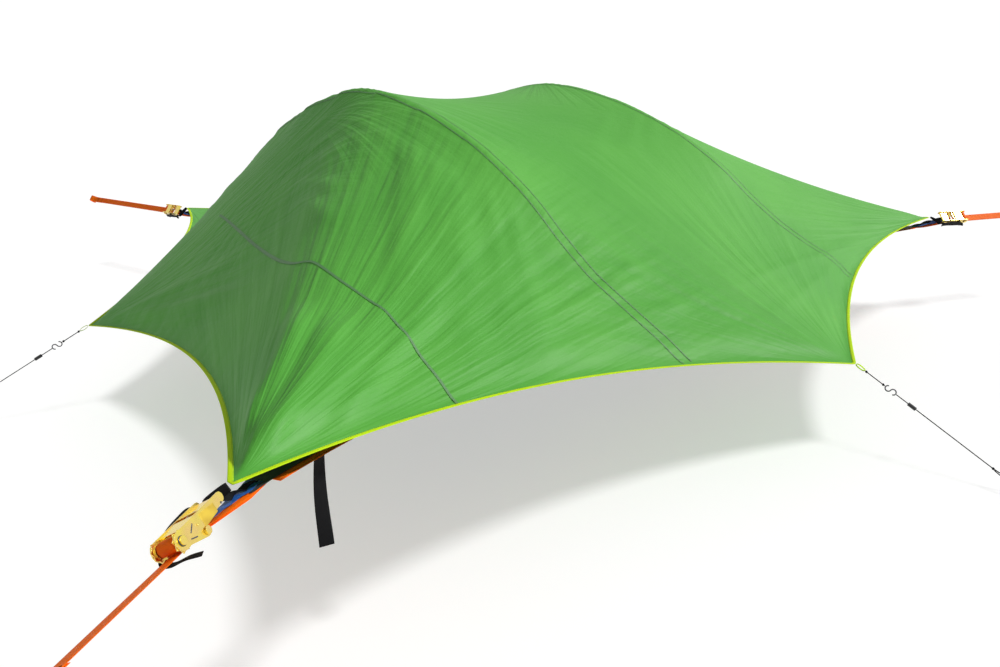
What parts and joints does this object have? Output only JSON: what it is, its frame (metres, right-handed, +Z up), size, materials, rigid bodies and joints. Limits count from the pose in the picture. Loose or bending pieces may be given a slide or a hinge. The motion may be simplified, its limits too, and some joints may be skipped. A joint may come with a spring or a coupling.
{
  "type": "tree tent",
  "caption": "Suspended triangular tree tent with a mesh canopy on hoop poles, a wide flysheet, a webbing-edged floor with a hatch, and ratchet straps at its corners.",
  "frame": {"origin": "centre of the floor triangle, in the plane of its webbing", "axes": "+Z up, +Y from the door towards the rear corner, +X to the right seen from behind the door"},
  "size_m": [5.2257, 5.7037, 1.1848],
  "materials": {
    "black_plastic": "moulded",
    "black_webbing": "woven polyester webbing",
    "cord_black": "braided cord",
    "dark_steel": "dark plated",
    "floor_fabric": "coated heavy polyester",
    "fly_fabric": "coated polyester, satin sheen",
    "mesh_fabric": "insect mesh",
    "neon_binding": "folded polyester tape",
    "orange_webbing": "woven polyester webbing",
    "pole_alloy": "anodised tube",
    "zinc_steel": "yellow zinc plate"
  },
  "bodies": {
    "root": {"anchor_bolt_front_left": "zinc_steel", "anchor_bolt_front_right": "zinc_steel", "anchor_bolt_rear": "zinc_steel", "anti_roll_web": "black_webbing", "corner_loop_front_left": "orange_webbing", "corner_loop_front_right": "orange_webbing", "corner_loop_rear": "orange_webbing", "door_panel": "mesh_fabric", "edge_strap_front": "orange_webbing", "edge_strap_left": "orange_webbing", "edge_strap_right": "orange_webbing", "floor_panel": "floor_fabric", "fly_binding": "neon_binding", "fly_sheet": "fly_fabric", "fly_strap_front_left": "black_webbing", "fly_strap_front_right": "black_webbing", "fly_strap_rear": "black_webbing", "guy_cord_top_front": "cord_black", "guy_cord_top_left": "cord_black", "guy_cord_top_right": "cord_black", "guy_hook_front": "dark_steel", "guy_hook_left": "dark_steel", "guy_hook_right": "dark_steel", "guy_line_front": "cord_black", "guy_line_left": "cord_black", "guy_line_right": "cord_black", "hoop_pole_left": "pole_alloy", "hoop_pole_right": "pole_alloy", "mesh_canopy": "mesh_fabric", "pole_sleeve_left": "black_webbing", "pole_sleeve_right": "black_webbing", "ratchet_frame_front_left": "zinc_steel", "ratchet_frame_front_right": "zinc_steel", "ratchet_frame_rear": "zinc_steel", "tree_strap_front_left": "orange_webbing", "tree_strap_front_right": "orange_webbing", "tree_strap_rear": "orange_webbing"},
    "drum_front_left": {"ratchet_drum_front_left": "zinc_steel", "drum_winding_front_left": "orange_webbing"},
    "handle_front_left": {"ratchet_handle_front_left": "zinc_steel"},
    "drive_pawl_front_left": {"drive_pawl_front_left": "zinc_steel"},
    "lock_pawl_front_left": {"lock_pawl_front_left": "zinc_steel"},
    "drum_front_right": {"ratchet_drum_front_right": "zinc_steel", "drum_winding_front_right": "orange_webbing"},
    "handle_front_right": {"ratchet_handle_front_right": "zinc_steel"},
    "drive_pawl_front_right": {"drive_pawl_front_right": "zinc_steel"},
    "lock_pawl_front_right": {"lock_pawl_front_right": "zinc_steel"},
    "drum_rear": {"ratchet_drum_rear": "zinc_steel", "drum_winding_rear": "orange_webbing"},
    "handle_rear": {"ratchet_handle_rear": "zinc_steel"},
    "drive_pawl_rear": {"drive_pawl_rear": "zinc_steel"},
    "lock_pawl_rear": {"lock_pawl_rear": "zinc_steel"},
    "runner_left": {"guy_runner_left": "black_plastic"},
    "runner_front": {"guy_runner_front": "black_plastic"},
    "runner_right": {"guy_runner_right": "black_plastic"},
    "hatch_flap": {"hatch_flap": "floor_fabric"},
    "hatch_slider": {"hatch_zip_slider": "dark_steel"},
    "door_slider": {"door_zip_slider": "dark_steel"},
    "hanging_strap": {"hanging_strap": "black_webbing"}
  },
  "joints": [
    {"name": "drum_turn_front_left", "type": "hinge", "parent": "root", "child": "drum_front_left", "pos_m": [-2.23777, -1.28234, 0.02506], "axis": [0.4373, -0.7574, 0.4848], "continuous": true},
    {"name": "handle_swing_front_left", "type": "hinge", "parent": "root", "child": "handle_front_left", "pos_m": [-2.23777, -1.28234, 0.02506], "axis": [0.4373, -0.7574, 0.4848], "range_deg": [0, 165]},
    {"name": "drive_pawl_pull_front_left", "type": "slide", "parent": "handle_front_left", "child": "drive_pawl_front_left", "axis": [0.8416, 0.5347, 0.0762], "range_m": [0, 0.006], "stiffness_N_per_m": 400, "springref_m": -0.006},
    {"name": "lock_pawl_pull_front_left", "type": "slide", "parent": "root", "child": "lock_pawl_front_left", "axis": [0.866, 0.5, 0], "range_m": [0, 0.004], "stiffness_N_per_m": 400, "springref_m": -0.006},
    {"name": "drum_turn_front_right", "type": "hinge", "parent": "root", "child": "drum_front_right", "pos_m": [2.227, -1.30099, 0.03707], "axis": [0.3214, 0.5567, 0.766], "continuous": true},
    {"name": "handle_swing_front_right", "type": "hinge", "parent": "root", "child": "handle_front_right", "pos_m": [2.227, -1.30099, 0.03707], "axis": [0.3214, 0.5567, 0.766], "range_deg": [0, 165]},
    {"name": "drive_pawl_pull_front_right", "type": "slide", "parent": "handle_front_right", "child": "drive_pawl_front_right", "axis": [-0.8961, 0.4403, 0.056], "range_m": [0, 0.006], "stiffness_N_per_m": 400, "springref_m": -0.006},
    {"name": "lock_pawl_pull_front_right", "type": "slide", "parent": "root", "child": "lock_pawl_front_right", "axis": [-0.866, 0.5, 0], "range_m": [0, 0.004], "stiffness_N_per_m": 400, "springref_m": -0.006},
    {"name": "drum_turn_rear", "type": "hinge", "parent": "root", "child": "drum_rear", "pos_m": [-0.01411, 2.57914, 0.02188], "axis": [-0.5736, 0, -0.8192], "continuous": true},
    {"name": "handle_swing_rear", "type": "hinge", "parent": "root", "child": "handle_rear", "pos_m": [-0.01411, 2.57914, 0.02188], "axis": [-0.5736, 0, -0.8192], "range_deg": [0, 165]},
    {"name": "drive_pawl_pull_rear", "type": "slide", "parent": "handle_rear", "child": "drive_pawl_rear", "axis": [-0.0714, -0.9962, 0.05], "range_m": [0, 0.006], "stiffness_N_per_m": 400, "springref_m": -0.006},
    {"name": "lock_pawl_pull_rear", "type": "slide", "parent": "root", "child": "lock_pawl_rear", "axis": [0, -1, 0], "range_m": [0, 0.004], "stiffness_N_per_m": 400, "springref_m": -0.006},
    {"name": "runner_slide_left", "type": "slide", "parent": "root", "child": "runner_left", "axis": [-0.7537, 0.4352, -0.4924], "range_m": [-0.03, 0.25]},
    {"name": "runner_slide_front", "type": "slide", "parent": "root", "child": "runner_front", "axis": [0, -0.8704, -0.4924], "range_m": [-0.03, 0.25]},
    {"name": "runner_slide_right", "type": "slide", "parent": "root", "child": "runner_right", "axis": [0.7537, 0.4352, -0.4924], "range_m": [-0.03, 0.25]},
    {"name": "hatch_open", "type": "hinge", "parent": "root", "child": "hatch_flap", "pos_m": [0, 0.2492, 0.00305], "axis": [1, 0, 0], "range_deg": [0, 90]},
    {"name": "hatch_zip", "type": "slide", "parent": "root", "child": "hatch_slider", "axis": [-1, 0, 0], "range_m": [0, 0.44]},
    {"name": "door_zip", "type": "slide", "parent": "root", "child": "door_slider", "axis": [-0.9903, 0, -0.1387], "range_m": [0, 0.4]},
    {"name": "strap_swing", "type": "hinge", "parent": "root", "child": "hanging_strap", "pos_m": [-1.78965, -1.10812, -0.00025], "axis": [0.9737, 0.2277, 0], "range_deg": [-60, 60]}
  ]
}
